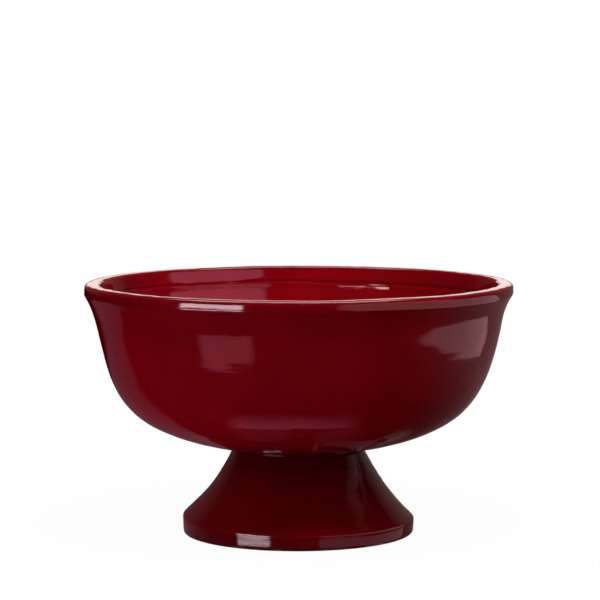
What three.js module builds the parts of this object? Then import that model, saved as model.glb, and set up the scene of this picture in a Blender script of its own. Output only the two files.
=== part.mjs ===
// Footed planter bowl in red glazed stoneware: a wide bowl with an everted rim on a hollow flared foot.
// Millimetres, +Z up, origin on the table at the centre of the foot ring.

import * as THREE from "three";

// Bowl
const RIM_DIAMETER = 280;
const BOWL_HEIGHT = 108.5;
const WALL_THICKNESS = 8;
const FLOOR_THICKNESS = 9;
const FLOOR_FLAT_DIAMETER = 60;

// Rim: a square lip that overhangs the throat on a short flare, and a sloping ledge inside, below the lip's back.
// Depths are measured down from the top of the lip.
const LIP_WIDTH = 9.6;
const LIP_FACE_HEIGHT = 6.9;
const LIP_OUTER_FILLET = 2.6;
const LIP_INNER_FILLET = 2.2;
const LIP_UNDER_FILLET = 1.6;
const LIP_OVERHANG = 7;
const THROAT_DEPTH = 24;
const FLARE_RADIUS = 45;
const LIP_BACK_TAPER = 2.2;
const COVE_DEPTH = 11.1;
const COVE_FILLET = 1;
const LEDGE_WIDTH = 0.9;
const LEDGE_DROP = 1.6;
const LEDGE_FILLET = 1.2;

// Belly: the outer curve from the neck to the throat, and how far it keeps its direction at each end
const UNDERSIDE_SLOPE_DEGREES = 9.8;
const UNDERSIDE_REACH = 65.8;
const WALL_REACH = 57.5;

// Foot: a flared flank above an upright band, hollow inside
const NECK_DIAMETER = 86;
const FOOT_DIAMETER = 152.4;
const FOOT_HEIGHT = 55.5;
const FOOT_WALL_THICKNESS = 8;
const FOOT_FLANK_RADIUS = 152;
const FOOT_BAND_HEIGHT = 9.6;
const FOOT_BAND_LEAN = 0.5;
const FOOT_RING_WIDTH = 9;
const FOOT_SHOULDER_FILLET = 2.5;
const FOOT_RING_FILLET = 2.2;
const FOOT_BORE_FILLET = 1.2;

// Fired slip between bowl and foot, with a smoothed coil of clay in the corner under the bowl
const JOINT_THICKNESS = 1;
const COIL_REACH = 6;
const COIL_DROP = 7.5;
const COIL_TIP_WIDTH = 1.2;
const COIL_HOLLOW_RADIUS = 25;
const COIL_CLEARANCE = 0.3;

// Detail of the turned shapes
const TURN_SEGMENTS = 64;
const FILLET_STEP_DEGREES = 25;
const BELLY_STEPS = 16;
const FLOOR_STEPS = 5;
const FLARE_STEPS = 4;
const FLANK_STEPS = 8;
const COIL_STEPS = 3;

const SEAT_HEIGHT = FOOT_HEIGHT + JOINT_THICKNESS;
const RIM_HEIGHT = SEAT_HEIGHT + BOWL_HEIGHT;
const NECK_RADIUS = NECK_DIAMETER / 2;
const FOOT_RADIUS = FOOT_DIAMETER / 2;

const glaze = () => new THREE.MeshStandardMaterial({ color: 0x76040e, roughness: 0.06, metalness: 0 });
const firedClay = () => new THREE.MeshStandardMaterial({ color: 0xa8836a, roughness: 0.85, metalness: 0 });

const at = (radius, height, fillet = 0) => ({ radius, height, fillet });

// Centre of the circle through two points. A positive radius puts it on the left of the way from the first
// to the second, a negative one on the right.
function centreOf(from, to, radius) {
  const across = (to.radius - from.radius) / 2;
  const up = (to.height - from.height) / 2;
  const half = Math.hypot(across, up);
  const reach = (Math.sign(radius) * Math.sqrt(radius * radius - half * half)) / half;
  return at(from.radius + across - up * reach, from.height + up + across * reach);
}

// Radius of a circle's near side, as seen from the axis, at a height.
function nearSide(centre, circleRadius, height) {
  return centre.radius - Math.sqrt(circleRadius ** 2 - (height - centre.height) ** 2);
}

// Height of a circle's lower side at a radius.
function lowerSide(centre, circleRadius, radius) {
  return centre.height - Math.sqrt(circleRadius ** 2 - (radius - centre.radius) ** 2);
}

// Points along the arc around a centre between two points on it, with both ends.
function arcPoints(centre, from, to, steps) {
  const angleOf = (point) => Math.atan2(point.height - centre.height, point.radius - centre.radius);
  const start = angleOf(from);
  const turn = angleOf(to) - start;
  const sweep = Math.atan2(Math.sin(turn), Math.cos(turn));
  const size = Math.hypot(from.radius - centre.radius, from.height - centre.height);
  return Array.from({ length: steps + 1 }, (_, i) => {
    const angle = start + (sweep * i) / steps;
    return at(centre.radius + size * Math.cos(angle), centre.height + size * Math.sin(angle));
  });
}

// The outline with each filleted corner replaced by an arc tangent to both of its edges. A fillet never takes
// more than half of an edge.
function rounded(corners) {
  const points = [];
  corners.forEach((corner, i) => {
    if (!corner.fillet) {
      points.push(corner);
      return;
    }
    const here = new THREE.Vector2(corner.radius, corner.height);
    const legs = [corners[i - 1], corners[i + 1]].map((end) =>
      new THREE.Vector2(end.radius, end.height).sub(here)
    );
    const halfAngle = Math.acos(legs[0].dot(legs[1]) / legs[0].length() / legs[1].length()) / 2;
    const longest = Math.min(legs[0].length(), legs[1].length()) / 2;
    const trim = Math.min(corner.fillet / Math.tan(halfAngle), longest);
    const [from, to] = legs.map((leg) => leg.clone().setLength(trim).add(here));
    const middle = legs[0].clone().normalize().add(legs[1].clone().normalize());
    const centre = middle.setLength(trim / Math.cos(halfAngle)).add(here);
    const turn = 180 - THREE.MathUtils.radToDeg(2 * halfAngle);
    const steps = Math.max(2, Math.ceil(turn / FILLET_STEP_DEGREES));
    const [arcCentre, arcStart, arcEnd] = [centre, from, to].map((point) => at(point.x, point.y));
    points.push(...arcPoints(arcCentre, arcStart, arcEnd, steps));
  });
  return points;
}

function turned(name, outline, material) {
  const points = outline.map((point) => new THREE.Vector2(point.radius, point.height));
  const geometry = new THREE.LatheGeometry(points, TURN_SEGMENTS).rotateX(Math.PI / 2);
  const mesh = new THREE.Mesh(geometry, material);
  mesh.name = name;
  return mesh;
}

// Bowl, from the axis under the floor, up the outside, over the lip and down the inside to the axis again
function bowlOutline() {
  const rimRadius = RIM_DIAMETER / 2;
  const throat = at(rimRadius - LIP_OVERHANG, RIM_HEIGHT - THROAT_DEPTH);
  const underLip = at(rimRadius, RIM_HEIGHT - LIP_FACE_HEIGHT, LIP_UNDER_FILLET);
  const flareCentre = centreOf(throat, underLip, -FLARE_RADIUS);
  const flare = arcPoints(flareCentre, throat, underLip, FLARE_STEPS).slice(1, -1);

  const seatEdge = new THREE.Vector2(NECK_RADIUS, SEAT_HEIGHT);
  const slope = THREE.MathUtils.degToRad(UNDERSIDE_SLOPE_DEGREES);
  const alongUnderside = new THREE.Vector2(Math.cos(slope), Math.sin(slope)).setLength(UNDERSIDE_REACH);
  const wallTop = new THREE.Vector2(throat.radius, throat.height);
  const downWall = new THREE.Vector2(flareCentre.height - throat.height, throat.radius - flareCentre.radius);
  const belly = new THREE.CubicBezierCurve(
    seatEdge,
    seatEdge.clone().add(alongUnderside),
    downWall.setLength(WALL_REACH).add(wallTop),
    wallTop
  );
  const outside = belly.getSpacedPoints(BELLY_STEPS).map((point) => at(point.x, point.y));
  const inside = outside.map((point, i) => {
    const along = belly.getTangentAt(i / BELLY_STEPS);
    return at(point.radius - along.y * WALL_THICKNESS, point.height + along.x * WALL_THICKNESS);
  });

  const floorEdge = new THREE.Vector2(FLOOR_FLAT_DIAMETER / 2, SEAT_HEIGHT + FLOOR_THICKNESS);
  const join = inside.findIndex((point) => point.height > floorEdge.y + WALL_THICKNESS);
  const wallFoot = new THREE.Vector2(inside[join].radius, inside[join].height);
  const blendReach = wallFoot.distanceTo(floorEdge) / 3;
  const floorBlend = new THREE.CubicBezierCurve(
    floorEdge,
    new THREE.Vector2(blendReach, 0).add(floorEdge),
    belly.getTangentAt(join / BELLY_STEPS).multiplyScalar(-blendReach).add(wallFoot),
    wallFoot
  );
  const floor = floorBlend.getSpacedPoints(FLOOR_STEPS).map((point) => at(point.x, point.y));

  const lipBackRadius = rimRadius - LIP_WIDTH;
  const coveRadius = lipBackRadius - LIP_BACK_TAPER;
  const coveHeight = RIM_HEIGHT - COVE_DEPTH;
  return [
    at(0, SEAT_HEIGHT),
    ...outside,
    ...flare,
    ...rounded([
      flare.at(-1),
      underLip,
      at(rimRadius, RIM_HEIGHT, LIP_OUTER_FILLET),
      at(lipBackRadius, RIM_HEIGHT, LIP_INNER_FILLET),
      at(coveRadius, coveHeight, COVE_FILLET),
      at(coveRadius - LEDGE_WIDTH, coveHeight - LEDGE_DROP, LEDGE_FILLET),
      inside.at(-1),
    ]).slice(1),
    ...inside.slice(join + 1, -1).reverse(),
    ...floor.reverse(),
    at(0, floorEdge.y),
  ];
}

// The flank of the foot is an arc, and the hollow inside follows it at the thickness of the wall.
const footTop = at(NECK_RADIUS, FOOT_HEIGHT);
const shoulder = at(FOOT_RADIUS, FOOT_BAND_HEIGHT, FOOT_SHOULDER_FILLET);
const flankCentre = centreOf(footTop, shoulder, FOOT_FLANK_RADIUS);
const hollowArcRadius = FOOT_FLANK_RADIUS + FOOT_WALL_THICKNESS;

// Foot, a closed outline: up the hollow inside, over the top, down the flank and round the ring on the table
function footOutline() {
  const boreRadius = FOOT_RADIUS - FOOT_RING_WIDTH;
  const boreTop = at(boreRadius, lowerSide(flankCentre, hollowArcRadius, boreRadius));
  const hollowTop = at(nearSide(flankCentre, hollowArcRadius, FOOT_HEIGHT), FOOT_HEIGHT);
  const hollow = arcPoints(flankCentre, hollowTop, boreTop, FLANK_STEPS);
  const flank = arcPoints(flankCentre, footTop, shoulder, FLANK_STEPS).slice(0, -1);
  const ring = rounded([
    flank.at(-1),
    shoulder,
    at(FOOT_RADIUS - FOOT_BAND_LEAN, 0, FOOT_RING_FILLET),
    at(boreRadius, 0, FOOT_BORE_FILLET),
    boreTop,
  ]);
  return [...hollow, ...ring.slice(1, -1).reverse(), ...flank.reverse(), hollowTop];
}

// Slip joint, a closed outline: the thin layer between two flat seats, and the coil that hangs from it inside
function jointOutline() {
  const coilArcRadius = hollowArcRadius + COIL_CLEARANCE;
  const coilFoot = FOOT_HEIGHT - COIL_DROP;
  const coilTop = at(nearSide(flankCentre, coilArcRadius, FOOT_HEIGHT), FOOT_HEIGHT);
  const coilLow = at(nearSide(flankCentre, coilArcRadius, coilFoot), coilFoot);
  const coilTip = at(coilLow.radius - COIL_TIP_WIDTH, coilFoot);
  const coilEdge = at(coilTop.radius - COIL_REACH, SEAT_HEIGHT);
  const coilCentre = centreOf(coilEdge, coilTip, -COIL_HOLLOW_RADIUS);
  return [
    footTop,
    at(NECK_RADIUS, SEAT_HEIGHT),
    ...arcPoints(coilCentre, coilEdge, coilTip, COIL_STEPS),
    ...arcPoints(flankCentre, coilLow, coilTop, COIL_STEPS),
    footTop,
  ];
}

const planter = new THREE.Group();
planter.name = "footed_planter_bowl";
planter.add(turned("bowl", bowlOutline(), glaze()));
planter.add(turned("pedestal_foot", footOutline(), glaze()));
planter.add(turned("slip_joint", jointOutline(), firedClay()));

export default planter;
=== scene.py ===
import math

import bmesh
import bpy
import numpy as np
from mathutils import Matrix, Vector


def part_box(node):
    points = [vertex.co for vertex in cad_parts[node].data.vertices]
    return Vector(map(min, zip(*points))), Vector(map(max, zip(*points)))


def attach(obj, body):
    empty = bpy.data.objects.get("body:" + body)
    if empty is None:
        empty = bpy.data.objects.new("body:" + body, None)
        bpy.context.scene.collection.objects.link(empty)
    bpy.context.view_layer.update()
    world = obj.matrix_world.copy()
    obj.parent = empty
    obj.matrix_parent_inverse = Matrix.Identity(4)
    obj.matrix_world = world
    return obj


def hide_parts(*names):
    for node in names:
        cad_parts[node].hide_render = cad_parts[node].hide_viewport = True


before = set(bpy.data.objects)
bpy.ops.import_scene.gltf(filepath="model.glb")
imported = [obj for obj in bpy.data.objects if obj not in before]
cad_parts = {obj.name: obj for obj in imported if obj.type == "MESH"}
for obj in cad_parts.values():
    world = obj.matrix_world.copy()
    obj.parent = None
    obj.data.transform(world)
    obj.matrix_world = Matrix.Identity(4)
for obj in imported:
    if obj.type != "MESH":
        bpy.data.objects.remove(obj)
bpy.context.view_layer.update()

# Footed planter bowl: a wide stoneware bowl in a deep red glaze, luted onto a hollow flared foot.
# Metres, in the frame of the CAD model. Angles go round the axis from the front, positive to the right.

MM = 0.001

# Turned surfaces
TURN_SEGMENTS = 300
FOOT_SEGMENTS = 450
SAME_POINT = 0.01 * MM
FINE_STEP = 0.1 * MM
LONGEST_STEP = 1.7 * MM
FOOT_STEP = 1.1 * MM
SHARPEST_TURN = math.radians(8)
CORNER = math.radians(30)
GLAZE_SOFTENING = 0.35 * MM
MIRROR = np.array([-1.0, 1.0])
RIPPLE_WAVES = 22

# The potter's hand: the size of each kind of unevenness and its depth
RING_MARKS = ((9.1 * MM, 0.010 * MM), (6.3 * MM, 0.007 * MM), (4.2 * MM, 0.005 * MM))
RING_DRIFT = (90 * MM, 1.6 * MM)
SWELLS = ((42 * MM, 0.060 * MM), (17 * MM, 0.022 * MM))
LIP_WAVE = (75 * MM, 0.06 * MM)
LIP_RIPPLE = (16 * MM, 0.025 * MM)
THROAT_RIPPLE = (13 * MM, 0.03 * MM)
LEDGE_WAVE = (17 * MM, 0.12 * MM)
HOLLOW_DENTS = (12 * MM, 0.12 * MM)
COIL_DENTS = (9 * MM, 0.175 * MM)

# Strength of the ring marks: the size of its changes, its mean and its spread
RING_STRENGTH = (60 * MM, 0.7, 0.5)
RING_STRENGTH_WAVES = 8
FOOT_RING_SHARE = 0.6

# Radii at which the unevenness has its size
BELLY_RADIUS = 110 * MM
FLANK_RADIUS = 60 * MM
HOLLOW_RADIUS = 50 * MM
COIL_RADIUS = 32 * MM

# Bulges of the bowl: depth under the rim, spread and thickness
FLARE_FULLNESS = (15 * MM, 8.5 * MM, 0.85 * MM)
BELLY_FULLNESS = (77 * MM, 15 * MM, 1.2 * MM)
LEDGE_BEAD = (12.8 * MM, 0.75 * MM, 0.32 * MM)

# Zones of the bowl: where each starts and where it is full. Depths are under the rim or in from it, the
# neck's zone goes out from the neck, and the sides are shares of the way to the left or to the right.
FLARE_ZONE = (26 * MM, 14 * MM)
THROAT_ZONE = (34 * MM, 26 * MM)
LIP_ZONE = (20 * MM, 8 * MM)
LIP_FACE_ZONE = (10 * MM, 7 * MM)
LIP_TOP_ZONE = (8.5 * MM, 1 * MM)
MOUTH_ZONE = (4 * MM, 0)
NECK_ZONE = (2 * MM, 14 * MM)
FULL_FLARE_LEFT = (-0.6, 0.35)
LOW_LEDGE_RIGHT = (-0.2, 0.35)

# Lip and ledge of the bowl: the lip's top falls outwards, and the ledge is higher on the left
LIP_TOP_DEPTH = 3 * MM
LIP_FALL = 0.2 * MM
LEDGE_DEPTH = 12.2 * MM
LEDGE_HALF = 3 * MM
LEDGE_FADE = 2.5 * MM
LEDGE_RISE = 1.2 * MM
LEDGE_TILT = 1.4 * MM

# Zones of the foot: heights where each starts, and depths under the foot's top where it ends
FLANK_START = (2 * MM, 12 * MM)
FLANK_END = (6 * MM, 1 * MM)
HOLLOW_START = (3 * MM, 10 * MM)
HOLLOW_END = (10 * MM, 4 * MM)
SHOULDER_START = (1 * MM, 9 * MM)
SHOULDER_FADE = (12 * MM, 36 * MM)
SHOULDER_RISE = 0.6 * MM
SHOULDER_SIDE = math.radians(-110)
FOOT_SHIFT = -0.75 * MM

# Zones of the slip joint, in from its outer edge
SEAM_CORNER = (2 * MM, 0)
SEAM_RECESS = 0.4 * MM
COIL_ZONE = (4 * MM, 8 * MM)

# Where the glaze ends
FULLY_GLAZED = -99.0
SEAT_GLAZED = 1.5 * MM
SEAM_GLAZED = 3 * MM
GLAZE_LINE = 0.9 * MM
GLAZE_LINE_WAVE = (22 * MM, 0.35)
HOLLOW_BARE = 4 * MM
OVERSPRAY_MM = 16.0

# Painted light and shade in the glaze's colour, the bowl's outside being 1: the inside painted paler for the
# light that falls into it, painted shade on its sides away from its brightest place, pooled glaze and
# painted shade at the ledge (depth, spread, share), painted shade on the lip's face, and painted shade on
# the foot by height, darkest under the bowl
INSIDE_PAINTED_LIGHT = 1.4
BRIGHTEST_BACK_DEGREES = 190
SIDE_ZONE_DEGREES = (25, 58)
SIDE_PAINTED_SHADE = 0.22
POOL_AND_SHADE_LOSS = (10.8 * MM, 1.0 * MM, 0.5)
LIP_PAINTED_SHADE = 0.15
FOOT_PAINTED_SHADE = ((12 * MM, 1.15), (30 * MM, 0.9), (50 * MM, 0.45))

# Runs of glaze down the foot: angle at the neck, drift, top, bottom, half width and thickness
GLAZE_RUNS = (
    (math.radians(59), math.radians(-15), 54 * MM, 21 * MM, 1.0 * MM, 0.36 * MM),
    (math.radians(-118), math.radians(4), 52 * MM, 26 * MM, 1.6 * MM, 0.26 * MM),
    (math.radians(171), math.radians(-3), 54 * MM, 21 * MM, 1.4 * MM, 0.28 * MM),
    (math.radians(96), math.radians(3), 50 * MM, 33 * MM, 1.3 * MM, 0.22 * MM),
)
RUN_TOP_WIDTH = 0.75
RUN_START = 2 * MM
RUN_END = (-1.2 * MM, 1.3 * MM)
BEAD_LEAST = 0.55
BEAD_PACE = 7.5
DROP_SWELL = 0.9
DROP_SPAN = (0.86, 1.0)
DROP_FADE = 0.06

# Colours of glaze and clay, linear
RED_DEEP = (0.190, 0.0004, 0.0042, 1)
RED_BRIGHT = (0.225, 0.0006, 0.0048, 1)
RED_DARK = (0.120, 0.0003, 0.0028, 1)
RED_THIN = (0.28, 0.006, 0.010, 1)
CLAY = (0.46, 0.30, 0.19, 1)
CLAY_PALE = (0.54, 0.37, 0.25, 1)
CLAY_DARK = (0.25, 0.15, 0.09, 1)

# Patterns of glaze and clay. The streaks' size is in millimetres, round the pot and up it.
CLOUD_SIZE = 38 * MM
MOTTLE_SIZE = 5 * MM
STREAK_SIZE_MM = (60.0, 2.2)
STREAK_DEPTH = 0.045 * MM
PEEL_SIZE = 2.6 * MM
PEEL_DEPTH = 0.006 * MM
SPECK_SPACING = 9 * MM
SPECK_EDGE = (0.028, 0.05)
PIT_DEPTH = 0.08 * MM
RAGGED_SIZE = 2.5 * MM
RAGGED_MM = 0.8
BARE_EDGE_MM = (-0.15, 0.15)
GRAIN_SIZE = 0.6 * MM
GRAIN_DEPTH = 0.10 * MM
CLAY_CLOUD_SIZE = 14 * MM
MIST_SIZE = 1.1 * MM
GLAZE_ROUGHNESS = (0.05, 0.075)
CLAY_ROUGHNESS = (0.78, 0.92)
GLAZE_IOR = 1.5

# How the patterns tint glaze and clay: where each starts to show, where it is full, and its share then
# if that is less than all
CLOUD_TINT = (0.3, 0.7)
MOTTLE_TINT = (0.45, 0.8, 0.35)
STREAK_TINT = (0.5, 0.8, 0.25)
EDGE_TINT = (0.15, 0.9, 0.2)
HOLLOW_TINT = (-0.1, -0.6, 0.5)
GRAIN_TINT = (0.6, 0.75, 0.6)
MIST_TINT = (0.35, 0.65)
SPECK_SHARE = 0.8
OVERSPRAY_SHARE = 0.75

# Colours of light
WHITE = (1, 0.93, 0.96)
PINK = (1, 0.58, 0.64)
ROSE = (1, 0.22, 0.36)
CRIMSON = (1, 0.12, 0.2)
WARM = (1, 0.56, 0.57)
BLUSH = (1, 0.76, 0.84)
MAUVE = (1, 0.51, 0.74)
ORCHID = (1, 0.42, 0.6)
CORAL = (1, 0.52, 0.56)
PEACH = (1, 0.75, 0.68)
CREAM = (1, 0.82, 0.78)

# Floor: to the eye it is white, and a small share of it takes the pot's shadow
FLOOR_REACH = 6.0
FLOOR_DROP = 0.05 * MM
FLOOR_BOUNCE = 0.2
SHADOW_SHARE = 0.035
SHADOW_REACH = (0.2, 0.6)

# Floor as the glaze mirrors it: polished close to the foot and in two lanes in front of it, and lit beyond
# a line on either side. A light's slant turns that line.
POLISH_LEVEL = 0.6
POLISH_ROUGHNESS = 0.1
POLISHED_EDGE = (0.095, 0.115)
LANE_INNER_EDGE = (0.03, 0.045)
LANE_FRONT_EDGE = (-0.095, -0.075)
LANE_OUTER_EDGE = (0.145, 0.17)
RIGHT_LIGHT_SLANT = 0.9
RIGHT_LIGHT_EDGE = (0.0, 0.5)
RIGHT_LIGHT_LEVEL = 0.2
LEFT_LIGHT_SLANT = 0.505
LEFT_LIGHT_EDGE = (-0.107, -0.067)
LEFT_LIGHT_LEVEL = 0.115
LEFT_LIGHT_FAR_EDGE = (0.4, 0.6)
LIGHTS_MEET = (-0.05, 0.05)

# Backdrop: its light on the pot, and how the glaze mirrors it. Edges are components of a direction of
# length 1.
AMBIENT = 0.25
DIM_LEVEL = 0.02
BEHIND_EDGE = (0.5, 0.8)
BEHIND_LEVELS = (0.07, 0.13)
BEHIND_MIDDLE = (-0.1, 0.1)
STRIP_LEVEL = 1.35
STRIP_SIDE_EDGE = (0.12, 0.28)
STRIP_LOW_EDGE = (0.03, 0.07)
STRIP_HIGH_EDGE = (0.15, 0.22)

# Lamps and pale boards: name, place, the point it faces, width, height and brightness
LAMPS = (
    ("top_light", (0.12, -0.47, 1.6), (0, 0, 0.1), 1.0, 1.0, 8.2),
    ("left_board", (-0.22, -0.16, 0.002), (-0.22, -0.16, 1), 0.25, 0.25, 1.3),
    ("side_board", (-0.7, 0.65, 0.1), (0, 0, 0.11), 0.5, 0.15, 6),
    ("front_board", (0, -0.4, 0.002), (0, -0.4, 1), 0.4, 0.4, 0.58),
)

# Lit cards
CARD_FADE = 0.12
SHEET_HEIGHT = 0.1 * MM
RING_HEIGHT = 25 * MM
SCREEN_HEIGHT = 85 * MM
LIP_SHADE_HEIGHT = 156 * MM
RING_STEPS = 25

# Camera
CAMERA_PLACE = (0.0009, -1.7615, 0.3156)
CAMERA_TILT = math.radians(84.731)
CAMERA_ROLL = math.radians(0.1)
CAMERA_LENS = 161.93
CAMERA_SENSOR = 36.0

rng = np.random.default_rng(11)


class Section:
    """Half the outline of a turned piece: radius and height, going up the outside and down the inside."""

    def __init__(self, line, closed, longest):
        self.closed = closed
        whole = looped(line, closed)
        steps = np.diff(whole, axis=0)
        lengths = np.linalg.norm(steps, axis=1)
        places = np.concatenate([[0], np.cumsum(lengths)])
        headings = np.unwrap(np.arctan2(steps[:, 1], steps[:, 0]))
        bends = np.gradient(headings) / lengths
        density = 1 / longest + np.abs(bends) / SHARPEST_TURN
        shares = np.concatenate([[0], np.cumsum(density * lengths)])
        wanted = np.linspace(0, shares[-1], math.ceil(shares[-1]) + 1)
        wanted = wanted[:-1] if closed else wanted
        self.along = np.interp(wanted, shares, places)[:, None]
        self.length = places[-1]
        middles = (places[1:] + places[:-1]) / 2
        self.radius = np.interp(self.along, places, whole[:, 0])
        self.height = np.interp(self.along, places, whole[:, 1])
        self.bend = np.interp(self.along, middles, bends)
        heading = np.interp(self.along, middles, headings)
        self.out = np.sin(heading)
        self.up = -np.cos(heading)


def looped(line, closed):
    """The line, with its first point again at the end if it closes on itself."""
    return np.vstack([line, line[:1]]) if closed else line


def node_outline(node):
    """The outline of a turned CAD node, point by point, and whether it closes on itself."""
    mesh = bmesh.new()
    mesh.from_mesh(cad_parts[node].data)
    bmesh.ops.remove_doubles(mesh, verts=mesh.verts, dist=SAME_POINT)
    front = {v for v in mesh.verts if abs(v.co.x) < SAME_POINT and v.co.y < SAME_POINT}

    def beside(vert):
        return [v for v in (e.other_vert(vert) for e in vert.link_edges) if v in front]

    ends = [v for v in front if len(beside(v)) == 1]
    here = min(ends or front, key=lambda v: (v.co.z, v.co.y))
    walk = []
    while here:
        walk.append(here)
        here = next((v for v in beside(here) if v not in walk), None)
    outline = np.array([(-v.co.y, v.co.z) for v in walk])
    mesh.free()
    after = np.roll(outline, -1, axis=0)
    turning = np.sum(outline[:, 0] * after[:, 1] - after[:, 0] * outline[:, 1])
    return (outline if turning > 0 else outline[::-1]), not ends


def unit(vector):
    return vector / np.linalg.norm(vector)


def respaced(line, closed):
    """The same line with even steps of about FINE_STEP."""
    whole = looped(line, closed)
    places = np.concatenate([[0], np.cumsum(np.linalg.norm(np.diff(whole, axis=0), axis=1))])
    wanted = np.linspace(0, places[-1], math.ceil(places[-1] / FINE_STEP) + 1)
    wanted = wanted[:-1] if closed else wanted
    return np.stack([np.interp(wanted, places, column) for column in whole.T], axis=1)


def softened(line, closed):
    """The line with its edges softened as glaze softens them."""
    reach = math.ceil(4 * GLAZE_SOFTENING / FINE_STEP)
    weights = np.exp(-0.5 * (np.arange(-reach, reach + 1) * FINE_STEP / GLAZE_SOFTENING) ** 2)
    if closed:
        padded = np.vstack([line[-reach:], line, line[:reach]])
    else:
        padded = np.vstack([line[reach:0:-1] * MIRROR, line, line[-2 : -reach - 2 : -1] * MIRROR])
    return np.stack([np.convolve(c, weights / weights.sum(), "valid") for c in padded.T], axis=1)


def smooth_line(points, closed):
    """A softened curve through the outline's points. An open outline starts and ends on the axis."""
    if closed:
        points = np.vstack([points[-1:], points, points[:2]])
    else:
        points = np.vstack([points[1] * MIRROR, points, points[-2] * MIRROR])
    steps = np.diff(points, axis=0)

    def way(before, after, own):
        sharp = unit(before) @ unit(after) < math.cos(CORNER)
        return unit(own) if sharp else unit(before + after)

    runs = []
    for before, step, after, start in zip(steps, steps[1:], steps[2:], points[1:]):
        length = np.linalg.norm(step)
        leave = length * way(before, step, step)
        arrive = length * way(step, after, step)
        t = np.arange(0, length, FINE_STEP)[:, None] / length
        curve = start + t * t * (3 - 2 * t) * step
        runs.append(curve + t * (1 - t) ** 2 * leave - t * t * (1 - t) * arrive)
    if not closed:
        runs.append(points[-2:-1])
    return softened(respaced(np.vstack(runs), closed), closed)


def node_section(node, longest=LONGEST_STEP):
    """The smooth section of a turned CAD node, in steps no longer than longest."""
    outline, closed = node_outline(node)
    return Section(smooth_line(outline, closed), closed, longest)


def around(segments):
    """The angles of a turned piece's columns."""
    return np.arange(segments) * 2 * math.pi / segments


def ramp(value, low, high):
    """0 at low, 1 at high and level beyond them, smooth between."""
    t = np.clip((value - low) / (high - low), 0, 1)
    return t * t * (3 - 2 * t)


def zone(value, top, depths):
    """0 at the first depth under top, 1 at the second, smooth between."""
    return ramp(value, top - depths[0], top - depths[1])


def band(value, low, high, fade):
    """1 between low and high, 0 outside them."""
    return ramp(value, low - fade, low + fade) * (1 - ramp(value, high - fade, high + fade))


def bulge(height, top, shape):
    """A ridge of a shape's thickness at its depth under top, fading over its spread."""
    depth, spread, thickness = shape
    return thickness * np.exp(-0.5 * ((height - (top - depth)) / spread) ** 2)


def ripples(theta, along, radius, size, count=RIPPLE_WAVES):
    """Smooth chance swells of about one size on a turned surface, with a spread of 1."""
    total = 0
    for _ in range(count):
        heading, phase = rng.uniform(0, 2 * math.pi, 2)
        pace = 2 * math.pi / (size * rng.uniform(0.75, 1.4))
        turns = round(radius * pace * math.cos(heading))
        total = total + np.cos(turns * theta + pace * math.sin(heading) * along + phase)
    return total * math.sqrt(2 / count)


def ring_marks(theta, along, radius):
    """The spiral ridges that fingers leave on a turning wall."""
    drift = RING_DRIFT[1] * ripples(theta, along, radius, RING_DRIFT[0])
    size, mean, spread = RING_STRENGTH
    total = 0
    for pitch, depth in RING_MARKS:
        strength = mean + spread * ripples(theta, along, radius, size, RING_STRENGTH_WAVES)
        total = total + depth * strength * np.sin(2 * math.pi * (along + drift) / pitch + theta)
    return total


def turned_piece(name, section, segments, swell, lift=0, shift=0, **surface):
    """A mesh turned from a section. swell moves each point along the surface's normal, lift moves it up and
    shift moves it to the right; surface holds further values of each point, kept as attributes."""
    theta = around(segments)
    radius = section.radius + swell * section.out
    height = np.maximum(section.height + swell * section.up + lift, 0)
    to_right = radius * np.sin(theta) + shift
    to_back = -radius * np.cos(theta)
    places = np.stack(np.broadcast_arrays(to_right, to_back, height), axis=-1)
    values = {key: np.broadcast_to(value, height.shape) for key, value in surface.items()}
    rows = len(places)
    onward = (np.arange(segments) + 1) % segments
    first, last = (0, rows) if section.closed else (1, rows - 1)
    number = np.arange((last - first) * segments).reshape(last - first, segments)
    points = places[first:last].reshape(-1, 3)
    faces, corners = [], []

    def uv(turn, row):
        return turn / segments, section.along[row % rows, 0] / section.length if row < rows else 1.0

    for row in range(first, last if section.closed else last - 1):
        near = number[row - first]
        far = number[(row + 1 - first) % len(number)]
        faces += np.stack([near, near[onward], far[onward], far], axis=1).tolist()
        for turn in range(segments):
            corners += [uv(turn, row), uv(turn + 1, row), uv(turn + 1, row + 1), uv(turn, row + 1)]
    kept = {key: value[first:last].reshape(-1) for key, value in values.items()}
    if not section.closed:
        bottom, top = len(points), len(points) + 1
        points = np.vstack([points, (shift, 0, places[0, 0, 2]), (shift, 0, places[-1, 0, 2])])
        kept = {key: np.append(kept[key], (values[key][0, 0], values[key][-1, 0])) for key in kept}
        for turn in range(segments):
            faces.append([bottom, number[0, onward[turn]], number[0, turn]])
            corners += [uv(turn + 0.5, 0), uv(turn + 1, 1), uv(turn, 1)]
            faces.append([top, number[-1, turn], number[-1, onward[turn]]])
            corners += [uv(turn + 0.5, rows - 1), uv(turn, rows - 2), uv(turn + 1, rows - 2)]
    mesh = bpy.data.meshes.new(name)
    mesh.from_pydata(points.tolist(), [], faces)
    mesh.uv_layers.new(name="OFBake").data.foreach_set("uv", np.ravel(corners))
    mesh.shade_smooth()
    for key, value in kept.items():
        mesh.attributes.new(key, "FLOAT", "POINT").data.foreach_set("value", value.astype(np.float32))
    piece = bpy.data.objects.new(name, mesh)
    bpy.context.scene.collection.objects.link(piece)
    return piece


def add_piece(piece, node, material):
    piece.data.materials.append(material)
    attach(piece, "root")
    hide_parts(node)


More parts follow.
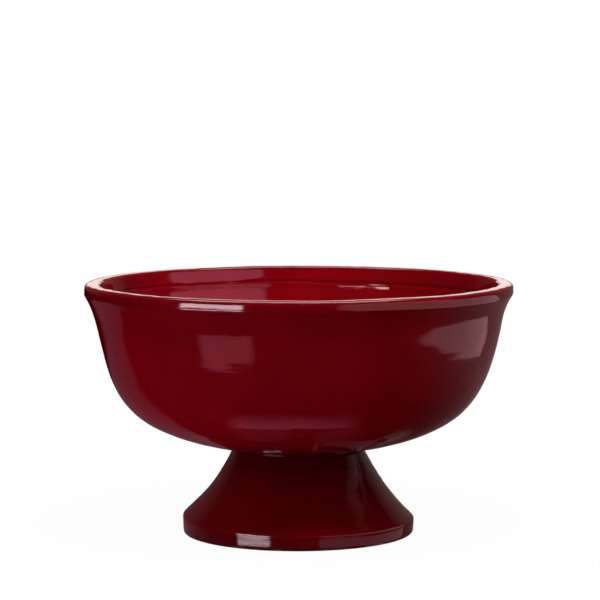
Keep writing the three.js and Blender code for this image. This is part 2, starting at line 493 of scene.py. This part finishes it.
class Nodes:
    """Short calls for making the nodes of one material or of the world."""

    def __init__(self, tree):
        self.tree = tree
        tree.nodes.clear()

    def put(self, value, socket):
        if isinstance(value, bpy.types.NodeSocket):
            self.tree.links.new(value, socket)
        else:
            socket.default_value = value

    def add(self, kind, inputs=(), **settings):
        made = self.tree.nodes.new(kind)
        for key, value in settings.items():
            setattr(made, key, value)
        for key, value in dict(inputs).items():
            self.put(value, made.inputs[key])
        return made

    def math(self, operation, *values):
        return self.add("ShaderNodeMath", enumerate(values), operation=operation).outputs[0]

    def value(self, name):
        return self.add("ShaderNodeAttribute", attribute_name=name).outputs["Fac"]

    def span(self, value, start, end, at_start, at_end):
        """A smooth way from one level to another as the value goes from start to end."""
        inputs = {0: value, 1: start, 2: end, 3: at_start, 4: at_end}
        return self.add("ShaderNodeMapRange", inputs, interpolation_type="SMOOTHSTEP").outputs[0]

    def rise(self, value, start, end, most=1.0):
        """0 at start, most at end."""
        return self.span(value, start, end, 0.0, most)

    def fall(self, value, start, end, most=1.0):
        """most at start, 0 at end."""
        return self.span(value, start, end, most, 0.0)

    def noise(self, place, size, detail, roughness=0.5):
        inputs = {"Vector": place, "Scale": 1 / size, "Detail": detail, "Roughness": roughness}
        return self.add("ShaderNodeTexNoise", inputs).outputs["Fac"]

    def blend(self, factor, first, second):
        """A mix of two colours."""
        made = self.add("ShaderNodeMix", data_type="RGBA")
        for value, socket in zip((factor, first, second), made.inputs[:1] + made.inputs[6:8]):
            self.put(value, socket)
        return made.outputs[2]

    def choose(self, factor, first, second):
        """A mix of two numbers."""
        made = self.add("ShaderNodeMix", data_type="FLOAT")
        for value, socket in zip((factor, first, second), made.inputs[:1] + made.inputs[2:4]):
            self.put(value, socket)
        return made.outputs[0]

    def bump(self, height, depth, under=None):
        inputs = {"Height": height, "Distance": depth, "Strength": 1.0}
        if under:
            inputs["Normal"] = under
        return self.add("ShaderNodeBump", inputs).outputs[0]


def stretched(nodes, place, across, upright):
    """Places squeezed so that a pattern of one size runs long round the pot and short up it."""
    inputs = {0: place, 1: (1 / across, 1 / across, 1 / upright)}
    return nodes.add("ShaderNodeVectorMath", inputs, operation="MULTIPLY").outputs[0]


def glazed_stoneware(name):
    """Deep red glaze over buff clay. The value bare is how far, in millimetres, a point lies inside the
    unglazed clay; edge is the surface's bend, convex above zero; painted_light is the painted light and
    shade that scales the glaze's colour."""
    material = bpy.data.materials.new(name)
    material.use_nodes = True
    nodes = Nodes(material.node_tree)
    place = nodes.add("ShaderNodeTexCoord").outputs["Object"]
    edge = nodes.value("edge")

    clouds = nodes.noise(place, CLOUD_SIZE, detail=3.0)
    mottle = nodes.noise(place, MOTTLE_SIZE, detail=3.0, roughness=0.6)
    streaks = nodes.noise(stretched(nodes, place, *STREAK_SIZE_MM), MM, detail=3.0, roughness=0.55)
    body = nodes.blend(nodes.rise(clouds, *CLOUD_TINT), RED_DEEP, RED_BRIGHT)
    body = nodes.blend(nodes.rise(mottle, *MOTTLE_TINT), body, RED_DARK)
    body = nodes.blend(nodes.rise(streaks, *STREAK_TINT), body, RED_DARK)
    body = nodes.blend(nodes.rise(edge, *EDGE_TINT), body, RED_THIN)
    body = nodes.blend(nodes.rise(edge, *HOLLOW_TINT), body, RED_DARK)
    specks = nodes.add("ShaderNodeTexVoronoi", {"Vector": place, "Scale": 1 / SPECK_SPACING})
    from_speck = specks.outputs["Distance"]
    near_speck = nodes.fall(from_speck, *SPECK_EDGE)
    body = nodes.blend(nodes.math("MULTIPLY", near_speck, SPECK_SHARE), body, RED_DARK)
    # Painted light and shade: the glaze's colour scaled by the painted light value of each point.
    with_painted_light = nodes.add("ShaderNodeVectorMath", {0: body, 3: nodes.value("painted_light")}, operation="SCALE")
    body = with_painted_light.outputs[0]

    ragged = nodes.noise(place, RAGGED_SIZE, detail=3.0)
    ragged = nodes.math("MULTIPLY_ADD", ragged, 2 * RAGGED_MM, -RAGGED_MM)
    bare = nodes.rise(nodes.math("ADD", nodes.value("bare"), ragged), *BARE_EDGE_MM)
    grain = nodes.noise(place, GRAIN_SIZE, detail=4.0, roughness=0.65)
    clay_clouds = nodes.noise(place, CLAY_CLOUD_SIZE, detail=3.0)
    clay = nodes.blend(nodes.rise(clay_clouds, *CLOUD_TINT), CLAY, CLAY_PALE)
    clay = nodes.blend(nodes.rise(grain, *GRAIN_TINT), clay, CLAY_DARK)
    drift = nodes.fall(nodes.value("bare"), 0.0, OVERSPRAY_MM, OVERSPRAY_SHARE)
    mist = nodes.rise(nodes.noise(place, MIST_SIZE, detail=4.0, roughness=0.7), *MIST_TINT)
    clay = nodes.blend(nodes.math("MULTIPLY", drift, mist), clay, RED_THIN)

    pits = nodes.fall(from_speck, 0.0, SPECK_EDGE[1], -1.0)
    peel = nodes.noise(place, PEEL_SIZE, detail=1.0)
    normal = nodes.bump(streaks, STREAK_DEPTH)
    normal = nodes.bump(peel, PEEL_DEPTH, normal)
    normal = nodes.bump(nodes.math("MULTIPLY", bare, grain), GRAIN_DEPTH, normal)
    normal = nodes.bump(pits, PIT_DEPTH, normal)

    gloss = nodes.span(mottle, 0.2, 0.8, *GLAZE_ROUGHNESS)
    matt = nodes.span(grain, 0.3, 0.7, *CLAY_ROUGHNESS)
    shader = nodes.add(
        "ShaderNodeBsdfPrincipled",
        {
            "Base Color": nodes.blend(bare, body, clay),
            "Roughness": nodes.choose(bare, gloss, matt),
            "Normal": normal,
            "IOR": GLAZE_IOR,
        },
    )
    nodes.add("ShaderNodeOutputMaterial", {"Surface": shader.outputs[0]})
    return material


def bowl_body(material):
    section = node_section("bowl")
    along, radius, height = section.along, section.radius, section.height
    theta = around(TURN_SEGMENTS)
    to_left, to_right = -np.sin(theta), np.sin(theta)
    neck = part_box("slip_joint")[1].x
    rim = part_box("bowl")[1]
    top = rim.z
    past_lip = along > along[np.argmax(height)]

    wall = ramp(radius - neck, *NECK_ZONE) * (1 - zone(height, top, FLARE_ZONE))
    throat = zone(height, top, THROAT_ZONE)
    basin = (radius / rim.x) ** 2 * (1 - throat)
    turned = np.where(past_lip, basin, wall)
    lip = zone(height, top, LIP_ZONE)
    swell = ring_marks(theta, along, BELLY_RADIUS) * turned
    for size, depth in SWELLS:
        swell = swell + depth * ripples(theta, along, rim.x, size) * turned
    for (size, depth), share in ((LIP_RIPPLE, lip), (THROAT_RIPPLE, past_lip * throat)):
        swell = swell + depth * ripples(theta, along, rim.x, size) * share

    swell = swell + bulge(height, top, FLARE_FULLNESS) * ramp(to_left, *FULL_FLARE_LEFT) * ~past_lip
    swell = swell + bulge(height, top, BELLY_FULLNESS) * np.clip(to_left, 0, 1) ** 2 * wall * ~past_lip
    swell = swell + bulge(height, top, LEDGE_BEAD) * past_lip
    lip_top = np.clip(section.up, 0, 1) * (height > top - LIP_TOP_DEPTH)
    swell = swell - LIP_FALL * zone(radius, rim.x, LIP_TOP_ZONE) * lip_top

    size, wave = LIP_WAVE
    lift = wave * ripples(theta, 0, rim.x, size) * lip
    size, wave = LEDGE_WAVE
    rise = LEDGE_RISE - LEDGE_TILT * ramp(to_right, *LOW_LEDGE_RIGHT)
    rise = rise + wave * ripples(theta, 0, rim.x, size)
    ledge = top - LEDGE_DEPTH
    lift = lift + rise * past_lip * band(height, ledge - LEDGE_HALF, ledge + LEDGE_HALF, LEDGE_FADE)

    bare = np.where(past_lip, FULLY_GLAZED, (neck - SEAT_GLAZED - radius) / MM)
    inside = past_lip * (1 - zone(height, top, MOUTH_ZONE))
    from_back = np.abs(np.degrees(theta) - BRIGHTEST_BACK_DEGREES)
    # Painted light: the inside is made paler for the light that falls into the bowl.
    painted_light = 1 + (INSIDE_PAINTED_LIGHT - 1) * inside
    # Painted shade on the inside's sides, away from its brightest place at the back.
    painted_light = painted_light * (1 - SIDE_PAINTED_SHADE * ramp(from_back, *SIDE_ZONE_DEGREES) * inside)
    # Pooled glaze and painted shade: a darker band in the glaze at the ledge.
    painted_light = painted_light * (1 - bulge(height, top, POOL_AND_SHADE_LOSS) * past_lip)
    # Painted shade on the lip's outer face.
    painted_light = painted_light * (1 - LIP_PAINTED_SHADE * zone(height, top, LIP_FACE_ZONE) * ~past_lip)
    values = {"edge": section.bend * MM, "bare": bare, "painted_light": painted_light}
    piece = turned_piece("bowl_body", section, TURN_SEGMENTS, swell, lift, **values)
    add_piece(piece, "bowl", material)


def glaze_runs(theta, section):
    """Thickness of the runs of glaze, which drift as they go down, swell into beads and end in a drop."""
    total = 0
    for angle, drift, top, bottom, width, thickness in GLAZE_RUNS:
        down = np.clip((top - section.height) / (top - bottom), 0, 1)
        gap = (theta - angle - drift * down + math.pi) % (2 * math.pi) - math.pi
        across = section.radius * gap / (width * (RUN_TOP_WIDTH + (1 - RUN_TOP_WIDTH) * down))
        beads = BEAD_LEAST + (1 - BEAD_LEAST) * np.cos(BEAD_PACE * down + angle) ** 2
        beads = beads + DROP_SWELL * band(down, *DROP_SPAN, DROP_FADE)
        above_end = ramp(section.height, bottom + RUN_END[0], bottom + RUN_END[1])
        below_start = 1 - ramp(section.height, top, top + RUN_START)
        total = total + thickness * np.exp(-across * across) * beads * above_end * below_start
    return total


def foot_body(material):
    section = node_section("pedestal_foot", FOOT_STEP)
    along, height = section.along, section.height
    theta = around(FOOT_SEGMENTS)
    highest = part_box("pedestal_foot")[1]
    outside = along < along[np.argmax(height)]

    flank = outside * ramp(height, *FLANK_START) * (1 - zone(height, highest.z, FLANK_END))
    hollow = ~outside * ramp(height, *HOLLOW_START) * (1 - zone(height, highest.z, HOLLOW_END))
    swell = ring_marks(theta, along, FLANK_RADIUS) * FOOT_RING_SHARE * flank
    for size, depth in SWELLS:
        swell = swell + depth * ripples(theta, along, FLANK_RADIUS, size) * flank
    swell = swell + glaze_runs(theta, section) * outside
    size, depth = HOLLOW_DENTS
    swell = swell + depth * ripples(theta, along, HOLLOW_RADIUS, size) * hollow

    shoulder = outside * ramp(height, *SHOULDER_START) * (1 - ramp(height, *SHOULDER_FADE))
    lift = SHOULDER_RISE * (1 + np.cos(theta - SHOULDER_SIDE)) ** 2 * shoulder
    size, wave = GLAZE_LINE_WAVE
    line = GLAZE_LINE * (1 + wave * ripples(theta, 0, highest.x, size))
    bare = np.where(outside, line - height, HOLLOW_BARE + height) / MM
    # Painted shade: the foot darker towards the bowl above it, paler near the floor.
    heights, shade_levels = zip(*FOOT_PAINTED_SHADE)
    values = {"edge": section.bend * MM, "bare": bare, "painted_light": np.interp(height, heights, shade_levels)}
    piece = turned_piece("foot_body", section, FOOT_SEGMENTS, swell, lift, FOOT_SHIFT, **values)
    add_piece(piece, "pedestal_foot", material)


def slip_seam(material):
    """The fired slip between bowl and foot: a glazed groove outside, a smoothed coil inside."""
    section = node_section("slip_joint")
    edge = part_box("slip_joint")[1].x
    size, depth = COIL_DENTS
    swell = depth * ripples(around(TURN_SEGMENTS), section.along, COIL_RADIUS, size)
    swell = swell * zone(section.radius, edge, COIL_ZONE)
    swell = swell - SEAM_RECESS * zone(section.radius, edge, SEAM_CORNER)
    bare = (edge - SEAM_GLAZED - section.radius) / MM
    # Painted shade under the bowl, as at the foot's top.
    values = {"edge": section.bend * MM, "bare": bare, "painted_light": FOOT_PAINTED_SHADE[-1][1]}
    piece = turned_piece("slip_seam", section, TURN_SEGMENTS, swell, 0, FOOT_SHIFT, **values)
    add_piece(piece, "slip_joint", material)


def opaque(colour):
    return (*colour, 1)


def grey(level):
    return (level, level, level, 1)


def soft_light(name, place, aim, width, height, brightness):
    """A rectangular lamp or pale board, white being 1. Its mirror image is left to the cards."""
    lamp = bpy.data.lights.new(name, "AREA")
    lamp.shape = "RECTANGLE"
    lamp.size = width
    lamp.size_y = height
    lamp.energy = math.pi * width * height * brightness
    holder = bpy.data.objects.new(name, lamp)
    turn = (Vector(place) - Vector(aim)).to_track_quat("Z", "Y").to_matrix().to_4x4()
    holder.matrix_world = Matrix.Translation(place) @ turn
    holder.visible_camera = False
    holder.visible_glossy = False
    bpy.context.scene.collection.objects.link(holder)


def lit_sheet(name, places, faces, glow, brightness, colour, one_sided=False):
    """A lit sheet that shows only in the glaze's reflections; a one-sided one is clear from behind."""
    material = bpy.data.materials.new(name)
    material.use_nodes = True
    nodes = Nodes(material.node_tree)
    level = nodes.math("MULTIPLY", nodes.value("glow"), brightness)
    surface = nodes.add("ShaderNodeEmission", {"Color": opaque(colour), "Strength": level}).outputs[0]
    if one_sided:
        behind = nodes.add("ShaderNodeNewGeometry").outputs["Backfacing"]
        clear = nodes.add("ShaderNodeBsdfTransparent").outputs[0]
        surface = nodes.add("ShaderNodeMixShader", {0: behind, 1: surface, 2: clear}).outputs[0]
    nodes.add("ShaderNodeOutputMaterial", {"Surface": surface})
    mesh = bpy.data.meshes.new(name)
    mesh.from_pydata(places, [], faces)
    mesh.attributes.new("glow", "FLOAT", "POINT").data.foreach_set("value", glow)
    mesh.materials.append(material)
    holder = bpy.data.objects.new(name, mesh)
    holder.visible_camera = False
    holder.visible_diffuse = False
    holder.visible_shadow = False
    bpy.context.scene.collection.objects.link(holder)


def card(name, corners, brightness, colour, fade=CARD_FADE, centre=None, levels=None):
    """A lit card that fades out towards its edges. Corners without a height lie on the floor; levels are
    the shares of the brightness at the corners."""
    outer = np.array([corner if len(corner) == 3 else (*corner, SHEET_HEIGHT) for corner in corners])
    middle = outer.mean(axis=0) if centre is None else np.array(centre)
    places = np.vstack([outer, middle + (1 - fade) * (outer - middle)])
    count = len(outer)
    faces = [(i, (i + 1) % count, (i + 1) % count + count, i + count) for i in range(count)]
    faces.append(tuple(range(count, 2 * count)))
    glow = [0.0] * count + list(levels or [1.0] * count)
    lit_sheet(name, places.tolist(), faces, glow, brightness, colour)


def upright_card(name, front, back, low, high, brightness, colour, levels=None):
    """A card that stands over two places on the floor. levels go from its low front corner to its low back,
    high back and high front."""
    corners = [(*front, low), (*back, low), (*back, high), (*front, high)]
    card(name, corners, brightness, colour, levels=levels)


def ring_card(name, radii, angles, brightness, colour, height=RING_HEIGHT):
    """Part of a lit ring round the pot, clear from below, or from above if its radii fall. radii and angles,
    in degrees, pair each place with its glow."""
    turns = np.linspace(angles[0][0], angles[-1][0], RING_STEPS)
    shares = np.interp(turns, *zip(*angles))
    places, glow = [], []
    for radius, level in radii:
        for turn, share in zip(np.radians(turns), shares):
            places.append((radius * math.sin(turn), -radius * math.cos(turn), height))
            glow.append(level * share)
    faces = []
    for row in range(len(radii) - 1):
        for column in range(RING_STEPS - 1):
            near = row * RING_STEPS + column
            far = near + RING_STEPS
            faces.append((near, far, far + 1, near + 1))
    lit_sheet(name, places, faces, glow, brightness, colour, one_sided=True)


def floor_material():
    """White to the eye, with the pot's shadow. In the glaze it is dark, but for its polished parts and the
    light on either side."""
    material = bpy.data.materials.new("pale_floor")
    material.use_nodes = True
    nodes = Nodes(material.node_tree)
    rays = nodes.add("ShaderNodeLightPath").outputs
    place = nodes.add("ShaderNodeTexCoord").outputs["Object"]
    away = nodes.add("ShaderNodeVectorMath", {0: place}, operation="LENGTH").outputs["Value"]
    axes = nodes.add("ShaderNodeSeparateXYZ", {0: place}).outputs

    white_level = nodes.span(away, *SHADOW_REACH, 1 - SHADOW_SHARE, 1.0)
    white = nodes.add("ShaderNodeEmission", {"Strength": white_level})
    paper = nodes.add("ShaderNodeBsdfDiffuse", {"Color": grey(SHADOW_SHARE)})
    seen = nodes.add("ShaderNodeAddShader", {0: white.outputs[0], 1: paper.outputs[0]})
    bounce = nodes.add("ShaderNodeBsdfDiffuse", {"Color": grey(FLOOR_BOUNCE)})

    lanes = nodes.rise(nodes.math("ABSOLUTE", axes["X"]), *LANE_INNER_EDGE)
    lanes = nodes.math("MULTIPLY", lanes, nodes.fall(axes["Y"], *LANE_FRONT_EDGE))
    lanes = nodes.math("MULTIPLY", lanes, nodes.fall(away, *LANE_OUTER_EDGE))
    polished = nodes.math("MAXIMUM", lanes, nodes.fall(away, *POLISHED_EDGE))
    gloss = {"Color": grey(POLISH_LEVEL), "Roughness": POLISH_ROUGHNESS}
    polish = nodes.add("ShaderNodeBsdfGlossy", gloss)

    right = nodes.math("MULTIPLY_ADD", axes["Y"], RIGHT_LIGHT_SLANT, axes["X"])
    right_light = nodes.rise(right, *RIGHT_LIGHT_EDGE, RIGHT_LIGHT_LEVEL)
    left = nodes.math("MULTIPLY_ADD", axes["X"], LEFT_LIGHT_SLANT, axes["Y"])
    left_light = nodes.rise(left, *LEFT_LIGHT_EDGE, LEFT_LIGHT_LEVEL)
    left_light = nodes.math("MULTIPLY", left_light, nodes.fall(axes["Y"], *LEFT_LIGHT_FAR_EDGE))
    to_left = nodes.fall(axes["X"], *LIGHTS_MEET)
    table = nodes.choose(to_left, right_light, left_light)
    tint = nodes.blend(to_left, opaque(WARM), opaque(MAUVE))
    lit = nodes.add("ShaderNodeEmission", {"Color": tint, "Strength": table})

    mirror = nodes.add("ShaderNodeMixShader", {0: polished, 2: polish.outputs[0]})
    mirror = nodes.add("ShaderNodeAddShader", {0: lit.outputs[0], 1: mirror.outputs[0]})
    unseen = {0: rays["Is Glossy Ray"], 1: bounce.outputs[0], 2: mirror.outputs[0]}
    unseen = nodes.add("ShaderNodeMixShader", unseen)
    shown = {0: rays["Is Camera Ray"], 1: unseen.outputs[0], 2: seen.outputs[0]}
    shown = nodes.add("ShaderNodeMixShader", shown)
    nodes.add("ShaderNodeOutputMaterial", {"Surface": shown.outputs[0]})
    return material


def backdrop():
    """White to the eye; dim in the glaze, but for a bright strip straight behind the pot."""
    world = bpy.data.worlds.new("studio")
    bpy.context.scene.world = world
    world.use_nodes = True
    nodes = Nodes(world.node_tree)
    rays = nodes.add("ShaderNodeLightPath").outputs
    heading = nodes.add("ShaderNodeTexCoord").outputs["Generated"]
    axes = nodes.add("ShaderNodeSeparateXYZ", {0: heading}).outputs
    behind = nodes.rise(axes["Y"], *BEHIND_EDGE)
    to_right = nodes.rise(axes["X"], *BEHIND_MIDDLE)
    dim = nodes.math("MULTIPLY_ADD", behind, nodes.choose(to_right, *BEHIND_LEVELS), DIM_LEVEL)
    strip = nodes.fall(nodes.math("ABSOLUTE", axes["X"]), *STRIP_SIDE_EDGE)
    strip = nodes.math("MULTIPLY", behind, strip)
    strip = nodes.math("MULTIPLY", strip, nodes.rise(axes["Z"], *STRIP_LOW_EDGE))
    strip = nodes.math("MULTIPLY", strip, nodes.fall(axes["Z"], *STRIP_HIGH_EDGE))
    mirrored = nodes.math("MULTIPLY_ADD", strip, STRIP_LEVEL, dim)
    tint = nodes.blend(to_right, opaque(CORAL), opaque(PEACH))
    tint = nodes.blend(strip, tint, opaque(CREAM))
    tint = nodes.blend(rays["Is Glossy Ray"], grey(1), tint)
    level = nodes.choose(rays["Is Glossy Ray"], AMBIENT, mirrored)
    level = nodes.choose(rays["Is Camera Ray"], level, 1.0)
    background = nodes.add("ShaderNodeBackground", {"Color": tint, "Strength": level})
    nodes.add("ShaderNodeOutputWorld", {"Surface": background.outputs[0]})


def pale_floor():
    mesh = bpy.data.meshes.new("floor")
    reach = FLOOR_REACH
    corners = [(-reach, -reach, 0), (reach, -reach, 0), (reach, reach, 0), (-reach, reach, 0)]
    mesh.from_pydata(corners, [], [(0, 1, 2, 3)])
    mesh.materials.append(floor_material())
    floor = bpy.data.objects.new("floor", mesh)
    floor.location.z = -FLOOR_DROP
    bpy.context.scene.collection.objects.link(floor)


def cards():
    """The shapes in the glaze: over the pot, to its left, to its right, and in rings round it."""
    ceiling = [(-0.84, -0.15, 1.5), (0.68, -0.15, 1.5), (0.68, 0.75, 1.5), (-0.84, 0.75, 1.5)]
    card("top_card", ceiling, brightness=5, colour=WHITE)

    front, back = (-0.508, -1.012), (-0.988, -0.535)
    levels = (1.0, 1.0, 0.75, 0.75)
    upright_card("far_card", front, back, 0.01, 0.36, brightness=13.5, colour=BLUSH, levels=levels)
    sheet = [(-0.248, -0.207), (-0.111, -0.298), (-0.137, -0.364), (-0.319, -0.253)]
    card("left_sheet", sheet, brightness=1.35, colour=ROSE, fade=0.3)

    front, back = (0.295, -0.9), (0.398, 0.238)
    low_edge = [(0.322, -0.28, 0.05), (0.335, -0.18, 0.022), (0.35, -0.1, 0.008), (0.377, 0.04, 0)]
    low_edge = [(*front, 0.12), *low_edge, (*back, 0)]
    high_edge = [(*back, 0.1), (0.386, 0.07, 0.19), (*front, 0.3)]
    card("right_card", low_edge + high_edge, brightness=0.95, colour=PINK, centre=(0.39, 0.2, 0.06))
    front, back = (1.018, -2.687), (2.907, -0.013)
    upright_card("right_window", front, back, 0.45, 1.45, brightness=1.5, colour=ORCHID)

    front_radii = ((0.104, 0), (0.106, 1), (0.122, 0.75), (0.142, 0), (0.172, 0))
    front_angles = ((-75, 0), (-40, 0), (-29, 1), (0, 1), (20, 0.75), (33, 0), (62, 0))
    ring_card("front_ring", front_radii, front_angles, brightness=0.95, colour=ROSE)
    foot_radii = ((0.066, 0.4), (0.09, 1), (0.103, 1), (0.104, 0))
    left_angles = ((-75, 0), (-44, 0), (-32, 1), (-6, 1), (-4, 0))
    ring_card("left_shade", foot_radii, left_angles, brightness=0.26, colour=CRIMSON)
    lip_radii = ((0.17, 0), (0.19, 1), (0.3, 1), (0.32, 0))
    lip_angles = ((-56, 0), (-46, 0), (-36, 1), (-25, 1), (-18, 0), (-10, 0))
    ring_card("lip_shade", lip_radii, lip_angles, brightness=1.7, colour=PINK, height=LIP_SHADE_HEIGHT)
    radii, angles = ((0.19, 0), (0.105, 0)), ((25, 0), (105, 0))
    ring_card("right_screen", radii, angles, brightness=0, colour=CRIMSON, height=SCREEN_HEIGHT)
    right_angles = ((7, 0), (10, 1), (26, 1), (40, 0), (62, 0))
    ring_card("right_shade", foot_radii, right_angles, brightness=0.2, colour=CRIMSON)


def camera():
    data = bpy.data.cameras.new("camera")
    data.lens = CAMERA_LENS
    data.sensor_width = CAMERA_SENSOR
    holder = bpy.data.objects.new("camera", data)
    holder.location = CAMERA_PLACE
    holder.rotation_euler = (CAMERA_TILT, CAMERA_ROLL, 0)
    bpy.context.scene.collection.objects.link(holder)
    bpy.context.scene.camera = holder


glaze = glazed_stoneware("red_glazed_stoneware")
bowl_body(glaze)
foot_body(glaze)
slip_seam(glaze)
pale_floor()
backdrop()
for lamp_values in LAMPS:
    soft_light(*lamp_values)
cards()
camera()
bpy.context.scene.view_settings.view_transform = "Standard"
